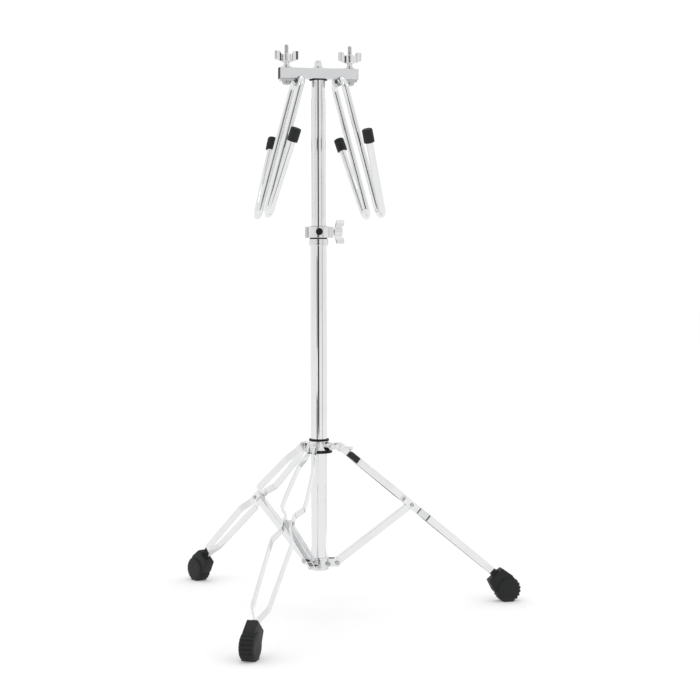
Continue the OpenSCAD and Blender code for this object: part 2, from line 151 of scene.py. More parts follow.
def chrome(name, light=0.80, rough=(0.03, 0.09), ripple=1.0, grain=(1, 1, 1)):
    """Bright plate: a faint ripple, hairline scratches, dull patches, and painted shade that darkens the
    colour in concave corners.
    """
    m = Mat(name)
    m.bsdf.inputs["Metallic"].default_value = 1.0
    cloud = m.noise(38, 5, 0.6)
    hair = m.noise(420, 3, 0.7, grain)
    smudge = m.noise(95, 6, 0.62)
    tone = m.ramp(cloud, [(0.30, (light * 0.955, light * 0.96, light * 0.97)),
                          (0.70, (light, light * 1.003, light * 1.006))])
    # painted shade: the base colour is darkened where pointiness finds a concave corner or crease, where
    # shade falls
    edge = m.node("ShaderNodeNewGeometry").outputs["Pointiness"]
    painted_corner_shade = m.ramp(edge, [(0.40, 0.72), (0.475, 1.0)])
    dark = m.node("ShaderNodeMix", data_type="RGBA", blend_type="MULTIPLY")
    dark.inputs["Factor"].default_value = 1.0
    rgba = [s for s in dark.inputs if s.type == "RGBA"]
    m.link(tone, rgba[0])
    m.link(painted_corner_shade, rgba[1])
    m.link([s for s in dark.outputs if s.type == "RGBA"][0], m.bsdf.inputs["Base Color"])
    base = m.span(cloud, rough[0], rough[1], 0.3, 0.7)
    spots = m.span(smudge, 0.0, 0.07, 0.60, 0.74)
    lines = m.span(hair, 0.0, 0.05, 0.52, 0.80)
    m.link(m.math("ADD", m.math("ADD", base, spots), lines), m.bsdf.inputs["Roughness"])
    m.bumps([(m.noise(55, 2, 0.5), 0.00010 * ripple, 0.10), (hair, 0.00002, 0.12)])
    return m.mat


def cast_chrome(name, light=0.76):
    """Plate over a casting: softer, with the slight dimples of the metal under it."""
    m = Mat(name)
    m.bsdf.inputs["Metallic"].default_value = 1.0
    cloud = m.noise(70, 5, 0.6)
    pits = m.noise(900, 3, 0.6)
    tone = m.ramp(cloud, [(0.3, (light * 0.90, light * 0.905, light * 0.915)), (0.7, (light, light, light))])
    m.link(tone, m.bsdf.inputs["Base Color"])
    m.link(m.math("ADD", m.span(cloud, 0.09, 0.17, 0.3, 0.7), m.span(pits, 0.0, 0.06, 0.5, 0.8)),
           m.bsdf.inputs["Roughness"])
    m.bumps([(m.noise(240, 3, 0.5), 0.00012, 0.16), (pits, 0.00003, 0.18)])
    return m.mat


def black_rubber(name, base=0.007, gloss=(0.48, 0.68)):
    """Moulded rubber: fine grain, a grey bloom, scuffs, and dust near the floor."""
    m = Mat(name)
    bloom = m.noise(60, 5, 0.6)
    grain = m.noise(1500, 3, 0.6)
    scuff = m.noise(260, 6, 0.7, (1, 1, 0.35))
    body = m.ramp(bloom, [(0.32, (base * 0.85, base * 0.93, base)),
                          (0.72, (base * 1.7, base * 1.8, base * 1.9))])
    scuffed = m.mix(m.span(scuff, 0.0, 0.35, 0.62, 0.80), body, (0.03, 0.03, 0.031))
    height = m.node("ShaderNodeSeparateXYZ")
    m.link(m.coord, height.inputs["Vector"])
    low = m.span(height.outputs["Z"], 0.45, 0.0, 0.0005, 0.010)
    dust = m.math("MULTIPLY", low, m.span(m.noise(420, 4, 0.6), 0.2, 1.0, 0.35, 0.65))
    m.link(m.mix(dust, scuffed, (0.06, 0.058, 0.055)), m.bsdf.inputs["Base Color"])
    m.link(m.math("ADD", m.span(bloom, gloss[0], gloss[1], 0.3, 0.7), m.span(grain, -0.05, 0.08, 0.3, 0.7)),
           m.bsdf.inputs["Roughness"])
    m.bsdf.inputs["Specular IOR Level"].default_value = 0.34
    m.bumps([(grain, 0.00010, 0.35), (scuff, 0.00008, 0.20)])
    return m.mat


def nylon(name):
    """Black nylon with faint turning marks."""
    m = Mat(name)
    cloud = m.noise(160, 4, 0.6)
    turned = m.noise(700, 2, 0.5, (0.15, 0.15, 3.0))
    tone = m.ramp(cloud, [(0.3, (0.006, 0.006, 0.0065)), (0.7, (0.014, 0.014, 0.015))])
    m.link(tone, m.bsdf.inputs["Base Color"])
    m.bsdf.inputs["Specular IOR Level"].default_value = 0.16
    m.link(m.span(cloud, 0.40, 0.58, 0.3, 0.7), m.bsdf.inputs["Roughness"])
    m.bumps([(turned, 0.00006, 0.25), (m.noise(1400, 2, 0.5), 0.00004, 0.2)])
    return m.mat


def zinc(name, light=0.42):
    """Dull zinc plate, mottled and grained."""
    m = Mat(name)
    m.bsdf.inputs["Metallic"].default_value = 1.0
    cloud = m.noise(190, 5, 0.65)
    tone = m.ramp(cloud, [(0.3, (light * 0.72, light * 0.73, light * 0.76)),
                          (0.7, (light, light, light * 1.02))])
    m.link(tone, m.bsdf.inputs["Base Color"])
    m.link(m.span(cloud, 0.18, 0.36, 0.3, 0.7), m.bsdf.inputs["Roughness"])
    m.bumps([(m.noise(1100, 3, 0.6), 0.00005, 0.25)])
    return m.mat


M = {
    "tube": chrome("chrome_tube", 0.79, (0.025, 0.07), 1.0, (1, 1, 0.04)),
    "rod": chrome("chrome_rod", 0.80, (0.03, 0.08), 0.8, (1, 1, 0.05)),
    "strip": chrome("chrome_strip", 0.80, (0.03, 0.09), 1.2, (0.3, 0.3, 0.3)),
    "stamping": chrome("chrome_stamping", 0.74, (0.07, 0.15), 1.6),
    "casting": cast_chrome("chrome_casting"),
    "hardware": chrome("chrome_hardware", 0.77, (0.05, 0.12), 1.0),
    "bar": chrome("chrome_bar", 0.70, (0.07, 0.13), 1.2, (0.05, 1, 1)),
    # chrome_plate is made darker than the other chrome: painted shade for the clamp plates under the bar
    "bolt": chrome("chrome_bolt", 0.52, (0.10, 0.18), 1.0),
    "plate": chrome("chrome_plate", 0.50, (0.08, 0.16), 1.6),
    "zinc": zinc("dark_steel"),
    "rubber": black_rubber("black_rubber"),
    "nylon": nylon("black_nylon"),
}


# ---------------------------------------------------------------- mesh helpers

def piece(name, verts, faces, mat, body, replaces=(), smooth=True):
    mesh = bpy.data.meshes.new(name)
    mesh.from_pydata([tuple(v) for v in verts], [], faces)
    mesh.validate()
    mesh.materials.append(M[mat])
    for p in mesh.polygons:
        p.use_smooth = smooth
    obj = bpy.data.objects.new(name, mesh)
    bpy.context.collection.objects.link(obj)
    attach(obj, body)
    if replaces:
        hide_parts(*replaces)
    return obj


def recalc(obj):
    """Normals outward."""
    import bmesh
    bm = bmesh.new()
    bm.from_mesh(obj.data)
    bmesh.ops.recalc_face_normals(bm, faces=bm.faces)
    bm.to_mesh(obj.data)
    bm.free()
    return obj


def bevel(obj, width, segments=3, angle=32):
    b = obj.modifiers.new("bevel", "BEVEL")
    b.width = width
    b.segments = segments
    b.limit_method = "ANGLE"
    b.angle_limit = math.radians(angle)
    b.harden_normals = False
    return obj


def flat_faces(obj):
    """Keeps the big faces flat in reflections when the small ones round an edge."""
    w = obj.modifiers.new("flat_faces", "WEIGHTED_NORMAL")
    w.mode = "FACE_AREA"
    w.weight = 90
    w.keep_sharp = True
    return obj


def sharp_by_angle(obj, angle=34):
    """Smooth shading that keeps edges over the angle crisp."""
    obj.data.set_sharp_from_angle(angle=math.radians(angle))
    return obj


def lathe(profile, seg=48, place=Matrix.Identity(4)):
    """A turned solid about Z from (radius, z) points, closed where the radius is 0."""
    verts, rings = [], []
    for r, z in profile:
        if r <= 1e-9:
            rings.append([len(verts)])
            verts.append(place @ Vector((0, 0, z)))
        else:
            rings.append(list(range(len(verts), len(verts) + seg)))
            for i in range(seg):
                a = 2 * math.pi * i / seg
                verts.append(place @ Vector((r * math.cos(a), r * math.sin(a), z)))
    faces = []
    for a, b in zip(rings, rings[1:]):
        for i in range(seg):
            j = (i + 1) % seg
            if len(a) == 1 and len(b) == 1:
                continue
            if len(a) == 1:
                faces.append((a[0], b[j], b[i]))
            elif len(b) == 1:
                faces.append((a[i], a[j], b[0]))
            else:
                faces.append((a[i], a[j], b[j], b[i]))
    return verts, faces


def sweep(stations, section, closed_ends=True):
    """Joins copies of a section (a function of the station's number giving 3-D points) into a tube."""
    verts, faces = [], []
    count = None
    for k, st in enumerate(stations):
        pts = section(k, st)
        count = len(pts)
        verts += pts
    for k in range(len(stations) - 1):
        for i in range(count):
            j = (i + 1) % count
            faces.append((k * count + i, k * count + j, (k + 1) * count + j, (k + 1) * count + i))
    if closed_ends:
        faces.append(tuple(range(count - 1, -1, -1)))
        base = (len(stations) - 1) * count
        faces.append(tuple(range(base, base + count)))
    return verts, faces


def merge(*parts):
    verts, faces = [], []
    for v, f in parts:
        n = len(verts)
        verts += v
        faces += [tuple(i + n for i in face) for face in f]
    return verts, faces


def moved(part, m):
    return [m @ Vector(v) for v in part[0]], part[1]


def extrude(outline, low, high, place=Matrix.Identity(4)):
    """A flat outline (x, z) carried along Y from low to high."""
    n = len(outline)
    verts = [place @ Vector((x, y, z)) for y in (low, high) for x, z in outline]
    faces = [tuple(range(n)), tuple(range(2 * n - 1, n - 1, -1))]
    faces += [(i, i + n, (i + 1) % n + n, (i + 1) % n) for i in range(n)]
    return verts, faces


def pivot(place):
    """Moves to a pivot given as (distance from the column's axis, height)."""
    return Matrix.Translation((place[0], 0, place[1]))


def on_leg(n):
    return Matrix.Rotation(math.radians(120 * (n - 1)), 4, "Z")


def leg_axes(n):
    return on_leg(n) @ pivot(LEG_PIVOT) @ Matrix.Rotation(LEG_SLOPE, 4, "Y")


def brace_axes(n):
    return on_leg(n) @ pivot(BRACE_PIVOT) @ Matrix.Rotation(-BRACE_RISE, 4, "Y")


ALONG_Y = Matrix.Rotation(math.radians(-90), 4, "X")      # turns +Z to +Y
ALONG_X = Matrix.Rotation(math.radians(90), 4, "Y")       # turns +Z to +X


def threaded(low, high, radius, pitch, seg=22, start=None):
    """A screw along Z; the thread starts at start and runs to the chamfered end at high."""
    start = low if start is None else start
    steps = int((high - start) / pitch * 5)
    stations = [("plain", low), ("plain", start)] if start > low + 1e-6 else []
    stations += [("thread", start + (high - start) * i / steps) for i in range(steps + 1)]

    def ring(k, st):
        kind, z = st
        pts = []
        for i in range(seg):
            t = i / seg
            r = radius
            if kind == "thread":
                phase = ((z - start) / pitch - t) % 1.0
                r = radius - 0.55 * pitch * (1 - abs(2 * phase - 1)) * 0.8
                r = min(r, radius - max(0.0, z - (high - 0.8 * pitch)) * 0.8)
            pts.append(Vector((r * math.cos(2 * math.pi * t), r * math.sin(2 * math.pi * t), z)))
        return pts
    return sweep(stations, ring)


def nut_wing(side, hub_r, hub_h, low_in, half, low_out, top_out, thick):
    """One cast wing from inside the hub out to its tip: hollow faces, a low shoulder, a rounded tip."""
    n = 22
    out = []
    for k in range(n):
        x = (hub_r - 0.0035) + (half - hub_r + 0.0035) * k / (n - 1)
        rise = min(1.0, max(0.0, (x - hub_r - 0.0006) / (half - 0.0085 - hub_r - 0.0006)))
        rise = rise * rise * (3 - 2 * rise)
        top = hub_h * 0.90 + (top_out - hub_h * 0.90) * rise
        low = low_in + (low_out - low_in) * min(1.0, max(0.0, (x - hub_r) / (half - 0.0015 - hub_r)))
        across = min(1.0, max(0.0, (x - hub_r) / (half - hub_r)))
        th = thick * (0.66 + 0.50 * (2 * across - 1) ** 2)
        tip = max(0.0, (x - half + 0.0016) / 0.0016)
        shrink = math.sqrt(max(0.0, 1 - (tip * 0.92) ** 2))
        th *= 0.45 + 0.55 * shrink
        out.append((x, low + (1 - shrink) * 0.0012, top - (1 - shrink) * 0.0010, th))

    def ring(k, st):
        x, low, top, th = st
        r = min(0.0011, th * 0.45)
        mid, h = (low + top) / 2, (top - low) / 2
        pts = []
        for cy, cz, a0 in ((1, 1, 0), (-1, 1, 1), (-1, -1, 2), (1, -1, 3)):
            for j in range(5):
                a = math.pi / 2 * (a0 + j / 4)
                y = cy * (th / 2 - r) + r * math.cos(a)
                pts.append(Vector((side * x, y, mid + cz * (h - r) + r * math.sin(a))))
        return pts
    return sweep(out, ring)


def wing_nut(name, body, node, place, hub_r, hub_h, waist, half, low_out, top_out, thick, bore, extra=()):
    """A cast wing nut along Z, its foot on z = 0: foot, ridged hub and two wings, fused and softened."""
    foot = hub_r * 0.80
    hub = [(0, 0), (foot, 0), (foot, waist * 0.17), (hub_r * 0.62, waist * 0.33),
           (hub_r * 0.66, waist * 0.47), (hub_r, waist), (hub_r, hub_h * 0.92),
           (hub_r * 0.88, hub_h * 0.985), (bore + 0.0008, hub_h), (bore + 0.0002, hub_h - 0.0006),
           (0, hub_h - 0.0006)]
    parts = [lathe(hub, 44)]
    for side in (-1, 1):
        parts.append(nut_wing(side, hub_r, hub_h, waist * 0.85, half, low_out, top_out, thick))
        ridge = [(-0.0008, waist), (0.0008, waist), (0.0008, hub_h * 0.95), (-0.0008, hub_h * 0.95)]
        ends = sorted((side * 0.004, side * (hub_r + 0.0009)))
        parts.append(extrude(ridge, *ends))
    parts += list(extra)
    v, f = moved(merge(*parts), place)
    obj = recalc(piece(name, v, f, "hardware", body, (node,)))
    re = obj.modifiers.new("fuse", "REMESH")
    re.mode = "VOXEL"
    re.voxel_size = 0.00036
    re.use_smooth_shade = True
    sm = obj.modifiers.new("soften", "SMOOTH")
    sm.factor = 0.5
    sm.iterations = 5
    return obj


def facing(s):
    """Turns +Z to +Y for s of 1, and to -Y for s of -1."""
    return ALONG_Y if s > 0 else Matrix.Rotation(math.pi, 4, "X") @ ALONG_Y


def rivet_head(parts, place, radius, height, seat):
    """A rolled rivet head standing on y = seat: a steep rounded rim round a shallow polished dish."""
    prof = [(radius * out, seat + height * up) for out, up in ((0, 0.62), (0.30, 0.66), (0.44, 0.76))]
    prof += [(radius * (0.58 + 0.40 * math.sin(a)), seat + height * (0.42 + 0.58 * math.cos(a)))
             for a in [math.pi / 2 * i / 7 for i in range(8)]]
    prof += [(radius, seat + height * 0.16), (radius, seat), (0, seat)]
    parts.append(moved(lathe(prof, 30), place))


# ---------------------------------------------------------------- pieces kept from the CAD

# each with its material and how far its edges are softened, in metres
KEEP = {
    "base_tube": ("tube", 0), "upper_tube": ("tube", 0), "head_spigot": ("tube", 0.0004),
    "lower_bracket": ("stamping", 0.0005), "bracket_screw": ("zinc", 0.0004),
    "height_clamp": ("casting", 0), "clamp_bushing": ("nylon", 0.0004),
    "clamp_washer": ("hardware", 0.0003), "tripod_collar": ("casting", 0),
    "collar_top_ring": ("nylon", 0.0006), "collar_bottom_ring": ("nylon", 0.0006),
    "bar_washer_left": ("hardware", 0.0003), "bar_washer_right": ("hardware", 0.0003),
    # the clamp plates' darker chrome is painted shade under the bar
    "clamp_plate_left": ("plate", 0.0005), "clamp_plate_right": ("plate", 0.0005),
    # spigot_washer: a nylon washer under the bar, made black so that it also paints the shadow line beneath
    # the bar
    "spigot_washer": ("nylon", 0.0003),
    "bar_plug_left": ("nylon", 0.0002), "bar_plug_right": ("nylon", 0.0002), "head_bar": ("bar", 0.0004),
}
for name, (mat, width) in KEEP.items():
    obj = NODES[name]
    if not obj.data.materials:
        obj.data.materials.append(M[mat])
    for i in range(len(obj.material_slots)):
        obj.material_slots[i].material = M[mat]
    if mat == "casting":
        re = obj.modifiers.new("cast", "REMESH")
        re.mode = "VOXEL"
        re.voxel_size = 0.00045
        re.use_smooth_shade = True
        sm = obj.modifiers.new("soften", "SMOOTH")
        sm.factor = 0.5
        sm.iterations = 6
    elif width:
        weld = obj.modifiers.new("weld", "WELD")
        weld.merge_threshold = 0.00001
        bevel(obj, width, 2, 40)
        flat_faces(obj)

# ---------------------------------------------------------------- legs

def bent_path(points, reach, steps=7):
    """The strip's centre line with each corner rounded over reach on both sides."""
    pts = [Vector((u, w)) for u, w in points]
    out = [pts[0]]
    for a, b, c in zip(pts, pts[1:], pts[2:]):
        ra = min(reach, (b - a).length * 0.45)
        rc = min(reach, (c - b).length * 0.45)
        p, q = b + (a - b).normalized() * ra, b + (c - b).normalized() * rc
        for i in range(steps + 1):
            t = i / steps
            out.append(p * (1 - t) ** 2 + b * 2 * t * (1 - t) + q * t * t)
    out.append(pts[-1])
    return out


def strip_part(flip):
    """One leg strip in the leg's own axes, with softened long edges; flip is -1 for the right one."""
    raw = [(u * MM, w * MM) for u, w in STRIP_PATH]
    path = bent_path(raw[1:], 0.003, 5)
    head = [Vector((-STRIP_W / 2 * math.cos(math.pi / 2 * i / 9), raw[0][1])) for i in range(10)]
    path = head + path
    edge = 0.0007

    def ring(k, p):
        q = path[min(k + 1, len(path) - 1)]
        o = path[max(k - 1, 0)]
        along = (q - o).normalized()
        side = Vector((-along.y, along.x))
        half = STRIP_W / 2
        if p.x < 0:
            half = max(0.0012, math.sqrt(max(0.0, half * half - p.x * p.x)))
        pts = []
        for cz, cw, a0 in ((1, 1, 0), (-1, 1, 1), (-1, -1, 2), (1, -1, 3)):
            for j in range(4):
                a = math.pi / 2 * (a0 + j / 3)
                z = cz * (half - edge) + edge * math.cos(a)
                w = cw * (STRIP_T / 2 - edge) + edge * math.sin(a)
                at = p + side * w
                pts.append(Vector((at.x, at.y * flip, z)))
        return pts
    return sweep(path, ring)


for n in (1, 2, 3):
    body = "leg_%d" % n
    for side, flip in (("left", 1), ("right", -1)):
        v, f = moved(strip_part(flip), leg_axes(n))
        strip = recalc(piece("strip_%d_%s" % (n, side), v, f, "strip", body,
                             ("leg_strip_%d_%s" % (n, side),)))
        flat_faces(strip)
    heads = []
    for s in (-1, 1):
        at = leg_axes(n) @ Matrix.Translation((PINCH, 0, 0))
        rivet_head(heads, at @ facing(s), 0.0036, 0.0018, OUTER_SEAT)
    v, f = merge(*heads)
    sharp_by_angle(recalc(piece("pinch_rivet_heads_%d" % n, v, f, "bolt", body, ("pinch_rivets_%d" % n,))))
    for label, place, seat, holder in (("collar", LEG_PIVOT, COLLAR_SEAT, "collar"),
                                       ("bracket", BRACE_PIVOT, OUTER_SEAT, "base")):
        parts = []
        at = on_leg(n) @ pivot(place)
        for s in (-1, 1):
            rivet_head(parts, at @ facing(s), 0.0040, 0.0020, seat)
        parts.append(moved(lathe([(0, -seat), (0.0025, -seat), (0.0025, seat), (0, seat)], 24), at @ ALONG_Y))
        v, f = merge(*parts)
        sharp_by_angle(recalc(piece("%s_rivet_%d_detail" % (label, n), v, f, "bolt", holder,
                                    ("%s_rivet_%d" % (label, n),))))

# ---------------------------------------------------------------- braces

def stadium(length, r, steps=14):
    """A flat bar's outline with round ends, from one centre at 0 to the other at length."""
    out = []
    for centre, start in ((0, math.pi / 2), (length, -math.pi / 2)):
        turns = [start + math.pi * i / steps for i in range(steps + 1)]
        out += [(centre + r * math.cos(a), r * math.sin(a)) for a in turns]
    return out


for n in (1, 2, 3):
    cheek = stadium(BRACE_LEN, BRACE_R)
    inner = BRACE_HALF_W - BRACE_WALL
    low = BRACE_R - BRACE_WALL
    web = [(0, low), (BRACE_LEN, low), (BRACE_LEN, BRACE_R), (0, BRACE_R)]
    v, f = merge(extrude(cheek, inner, BRACE_HALF_W), extrude(cheek, -BRACE_HALF_W, -inner),
                 extrude(web, 0.0001 - BRACE_HALF_W, BRACE_HALF_W - 0.0001))
    brace = recalc(piece("brace_%d_channel" % n, *moved((v, f), brace_axes(n)), "strip", "brace_%d" % n,
                         ("brace_%d" % n,)))
    bevel(brace, 0.0005, 2, 40)
    flat_faces(brace)

# ---------------------------------------------------------------- feet

def foot_disc(n):
    """Ribbed rubber disc: domed dimpled sides, a rounded shoulder, cross ribs, a flat underside with wear."""
    seg, ribs = 240, 20
    place = on_leg(n) @ Matrix.Translation((FOOT_R, 0, FOOT_Z))
    half = DISC_W / 2
    rows = []
    for r, y in ((0.0, 0.9985), (0.0016, 0.9985), (0.0030, 1.004), (0.0090, 1.004), (0.0150, 0.995),
                 (0.0182, 0.972), (0.0202, 0.925), (0.0215, 0.86), (0.0226, 0.76)):
        rows.append((r, y * half))
    rows += [(DISC_R, half * t) for t in (0.62, 0.30, 0.0)]
    full = rows + [(r, -y) for r, y in reversed(rows[:-1])]

    def shape(r, a):
        if r < 0.0195:
            return r
        depth = 0.0019 * min(1.0, (r - 0.0195) / 0.0030)
        t = (a / (2 * math.pi) * ribs) % 1.0
        wave = 0.5 - 0.5 * math.cos(2 * math.pi * t)
        return r - depth * (1 - min(1.0, wave * 1.75))
    verts, rings = [], []
    for r, y in full:
        if r == 0:
            rings.append([len(verts)])
            verts.append(Vector((0, y, 0)))
            continue
        rings.append(list(range(len(verts), len(verts) + seg)))
        for i in range(seg):
            a = 2 * math.pi * i / seg
            rr = shape(r, a)
            x, z = rr * math.cos(a), rr * math.sin(a)
            if z < -FOOT_Z + 0.0002:
                z = -FOOT_Z + 0.00005
            elif z < -0.0180 and r > 0.0195 and abs(x) < 0.0082:
                z = -FOOT_Z + 0.00005
            verts.append(Vector((x, y, z)))
    faces = []
    for a, b in zip(rings, rings[1:]):
        for i in range(seg):
            j = (i + 1) % seg
            if len(a) == 1:
                faces.append((a[0], b[i], b[j]))
            elif len(b) == 1:
                faces.append((a[j], a[i], b[0]))
            else:
                faces.append((a[i], b[i], b[j], a[j]))
    return moved((verts, faces), place)


def foot_sleeve(n):
    """The wedge-shaped socket the strips run into."""
    outline = [(-36, 17), (-11, 38.4), (8.3, 24.8), (13.5, 15), (2, -9), (-18, -9.5), (-26.5, -2)]
    pts = [((FOOT_R + x * MM), (FOOT_Z + z * MM)) for x, z in outline]
    return extrude(pts, -0.0095, 0.0095, on_leg(n))


for n in (1, 2, 3):
    body = "leg_%d" % n
    disc = recalc(piece("foot_disc_%d" % n, *foot_disc(n), "rubber", body, ("foot_%d" % n,)))
    sharp_by_angle(disc, 60)
    sleeve = recalc(piece("foot_sleeve_%d" % n, *foot_sleeve(n), "rubber", body, ("foot_%d" % n,)))
    bevel(sleeve, 0.0018, 4, 20)
    box = [(-0.0075, -0.0049), (0.0075, -0.0049), (0.0075, 0.0049), (-0.0075, 0.0049)]
    lip = []
    for u in (0.3670, 0.3725):
        lip += [Vector((u, y, z)) for z, y in box]
    lip_faces = [(0, 1, 2, 3), (7, 6, 5, 4)] + [(i, i + 4, (i + 1) % 4 + 4, (i + 1) % 4) for i in range(4)]
    lip_obj = recalc(piece("foot_lip_%d" % n, [leg_axes(n) @ p for p in lip], lip_faces, "rubber", body,
                           ("foot_%d" % n,)))
    bevel(lip_obj, 0.0009, 3, 30)

# ---------------------------------------------------------------- cradle arms

def arm_point(s, y, z):
    """A place in an arm's plane (s is -1 for the left one): y across the stand, z up from the pivot."""
    return Vector((s * (ARM_PIVOT[0] - z * math.sin(SPLAY)), y, ARM_PIVOT[1] + z * math.cos(SPLAY)))


def arm_path():
    """The bent rod's centre line in its own plane, from one short end round to the other."""
    pts = []
    for b in (-1, 1):
        half = []
        run = ARM_HALF - ELBOW_R
        half += [(run * t, 0.0) for t in (0.0, 0.35, 0.7)]
        half += [(run + ELBOW_R * math.sin(a), -ELBOW_R * (1 - math.cos(a)))
                 for a in [math.pi / 2 * i / 14 for i in range(15)]]
        top, bottom = -ELBOW_R, HOOK_R - ARM_DEPTH
        half += [(ARM_HALF, top + (bottom - top) * t) for t in (0.12, 0.3, 0.5, 0.7, 0.88)]
        mid = (ARM_HALF + HOOK_R, bottom)
        end = math.pi - FLARE
        half += [(mid[0] - HOOK_R * math.cos(a), mid[1] - HOOK_R * math.sin(a))
                 for a in [end * i / 24 for i in range(25)]]
        last = half[-1]
        d = (math.sin(FLARE), math.cos(FLARE))
        stops = (0.02, 0.05, 0.08, 0.105, SHORT_LEN - 0.005)
        half += [(last[0] + d[0] * t, last[1] + d[1] * t) for t in stops]
        half = [(b * y, z) for y, z in half]
        pts = list(reversed(half)) + pts if b < 0 else pts + half[1:]
    return pts


def swept_rod(points3, radius, seg=28):
    """A round rod along a flat path of 3-D points."""
    normal = None
    for i in range(len(points3) - 2):
        c = (points3[i + 1] - points3[i]).cross(points3[i + 2] - points3[i + 1])
        if c.length > 1e-9:
            normal = c.normalized()
            break

    def ring(k, p):
        a = points3[max(k - 1, 0)]
        b = points3[min(k + 1, len(points3) - 1)]
        t = (b - a).normalized()
        side = t.cross(normal).normalized()
        turns = [2 * math.pi * i / seg for i in range(seg)]
        return [p + radius * (math.cos(a) * side + math.sin(a) * normal) for a in turns]
    return sweep(points3, ring)


TIP_PROFILE = [(0.0059, 0.0), (0.0084, 0.0), (0.00885, 0.0003), (0.009, 0.0009)]
TIP_PROFILE += [(0.0063 + 0.0027 * math.cos(a), TIP_LEN - 0.0027 + 0.0027 * math.sin(a))
                for a in [math.pi / 2 * i / 8 for i in range(9)]] + [(0.0, TIP_LEN)]
for s, side in ((-1, "left"), (1, "right")):
    body = "%s_arm" % side
    path = [arm_point(s, y, z) for y, z in arm_path()]
    rod = recalc(piece("rod_%s" % side, *swept_rod(path, ROD_R), "rod", body, ("arm_%s" % side,)))
    sharp_by_angle(rod, 50)
    for b, place in ((-1, "front"), (1, "back")):
        y0 = b * (ARM_HALF + HOOK_R + HOOK_R * math.cos(FLARE))
        z0 = HOOK_R - ARM_DEPTH - HOOK_R * math.sin(FLARE)
        d = SHORT_LEN - TIP_LEN
        start = arm_point(s, y0 + b * math.sin(FLARE) * d, z0 + math.cos(FLARE) * d)
        end = arm_point(s, y0 + b * math.sin(FLARE) * SHORT_LEN, z0 + math.cos(FLARE) * SHORT_LEN)
        axis = (end - start).normalized()
        m = Matrix.Translation(start) @ axis.to_track_quat("Z", "Y").to_matrix().to_4x4()
        prof = [(0.0, 0.0)] + TIP_PROFILE
        tip = recalc(piece("cap_%s_%s" % (side, place), *lathe(prof, 40, m), "rubber", body,
                           ("tip_%s_%s" % (side, place),)))
        sharp_by_angle(tip, 50)

# ---------------------------------------------------------------- fasteners and wing nuts

for s, side in ((-1, "left"), (1, "right")):
    at = Matrix.Translation((s * BOLT_X, 0, 0))
    head = lathe([(0, 0.9055), (0.0040, 0.9056), (0.0058, 0.9062), (0.0068, 0.9072), (0.0070, 0.9084),
                  (0, 0.9084)], 36)
    screw = threaded(0.9080, BOLT_TOP, BOLT_R, BOLT_PITCH, start=BOLT_THREAD_LOW)
    v, f = moved(merge(head, screw), at)
    bolt = recalc(piece("head_bolt_%s" % side, v, f, "bolt", "head", ("bar_bolt_%s" % side,)))
    sharp_by_angle(bolt, 50)
    spin = Matrix.Rotation(math.radians(5 if s > 0 else 0), 4, "Z")
    wing_nut("head_wing_nut_%s" % side, "nut_%s" % side, "wing_nut_%s" % side,
             at @ Matrix.Translation((0, 0, BAR_TOP + 0.004)) @ spin,
             hub_r=0.0072, hub_h=0.0206, waist=0.0062, half=0.0207, low_out=0.0093, top_out=0.0248,
             thick=0.0058, bore=BOLT_R)

clamp_axis = Matrix.Rotation(CLAMP_TURN, 4, "Z")
clamp_axis = clamp_axis @ Matrix.Translation((0, CLAMP_BOLT_Y, CLAMP_BOLT_Z)) @ ALONG_X
wing_nut("clamp_nut_detail", "clamp_nut", "clamp_wing_nut",
         clamp_axis @ Matrix.Translation((0, 0, 0.0278)),
         hub_r=0.0070, hub_h=0.0155, waist=0.0012, half=0.0205, low_out=0.0042, top_out=0.0185,
         thick=0.0056, bore=0.0030)
screw = threaded(-0.0190, 0.0403, 0.0030, 0.0010, start=0.0200)
head = lathe([(0, -0.0220), (0.0050, -0.0220), (0.0058, -0.0216), (0.0060, -0.0208),
              (0.0060, -0.0185), (0, -0.0185)], 36)
v, f = moved(merge(screw, head), clamp_axis)
clamp_bolt = recalc(piece("clamp_bolt_detail", v, f, "hardware", "base", ("clamp_bolt",), smooth=True))
sharp_by_angle(clamp_bolt, 40)

screw_axis = Matrix.Rotation(SCREW_TURN, 4, "Z") @ Matrix.Translation((0, 0, SCREW_Z)) @ ALONG_X
shaft = lathe([(0, -0.0248), (0.0026, -0.0248), (0.0030, -0.0242), (0.0030, 0.002), (0, 0.002)], 24)
boss = lathe([(0, 0.0), (0.0042, 0.0), (0.0042, 0.0122), (0.0034, 0.0130), (0, 0.0130)], 28)
spin = Matrix.Rotation(math.radians(90) + SCREW_SPIN, 4, "Z")
wing_nut("collar_screw_detail", "collar_screw", "collar_wing_screw",
         screw_axis @ Matrix.Translation((0, 0, 0.040)) @ spin,
         hub_r=0.0065, hub_h=0.0140, waist=0.0042, half=0.0240, low_out=0.0050, top_out=0.0170,
         thick=0.0062, bore=0.0028, extra=(shaft, boss))

nut_base = BAR_TOP + 0.0022
spacer = lathe([(0, BAR_TOP), (0.0083, BAR_TOP), (0.0085, BAR_TOP + 0.0003), (0.0085, nut_base - 0.0003),
                (0.0083, nut_base), (0, nut_base)], 48)
flange = lathe([(0, nut_base), (0.0075, nut_base), (0.0077, nut_base + 0.0003), (0.0077, nut_base + 0.0010),
                (0.0072, nut_base + 0.0014), (0, nut_base + 0.0014)], 48)
hexagon = lathe([(0, nut_base + 0.0010), (0.0071, nut_base + 0.0010), (0.0071, nut_base + 0.0074),
                 (0, nut_base + 0.0074)], 6)
crown = [(0, nut_base + 0.0068), (0.0063, nut_base + 0.0068)]
crown += [(0.0038 + 0.0024 * math.cos(a), nut_base + 0.0076 + 0.0041 * math.sin(a))
          for a in [math.pi / 2 * i / 7 for i in range(8)]] + [(0, nut_base + 0.0117)]
v, f = merge(spacer, flange, hexagon, lathe(crown, 36))
cap = recalc(piece("cap_nut", v, f, "hardware", "head", ("centre_nut",)))
sharp_by_angle(cap, 32)
bevel(cap, 0.00025, 2, 40)

# ---------------------------------------------------------------- studio

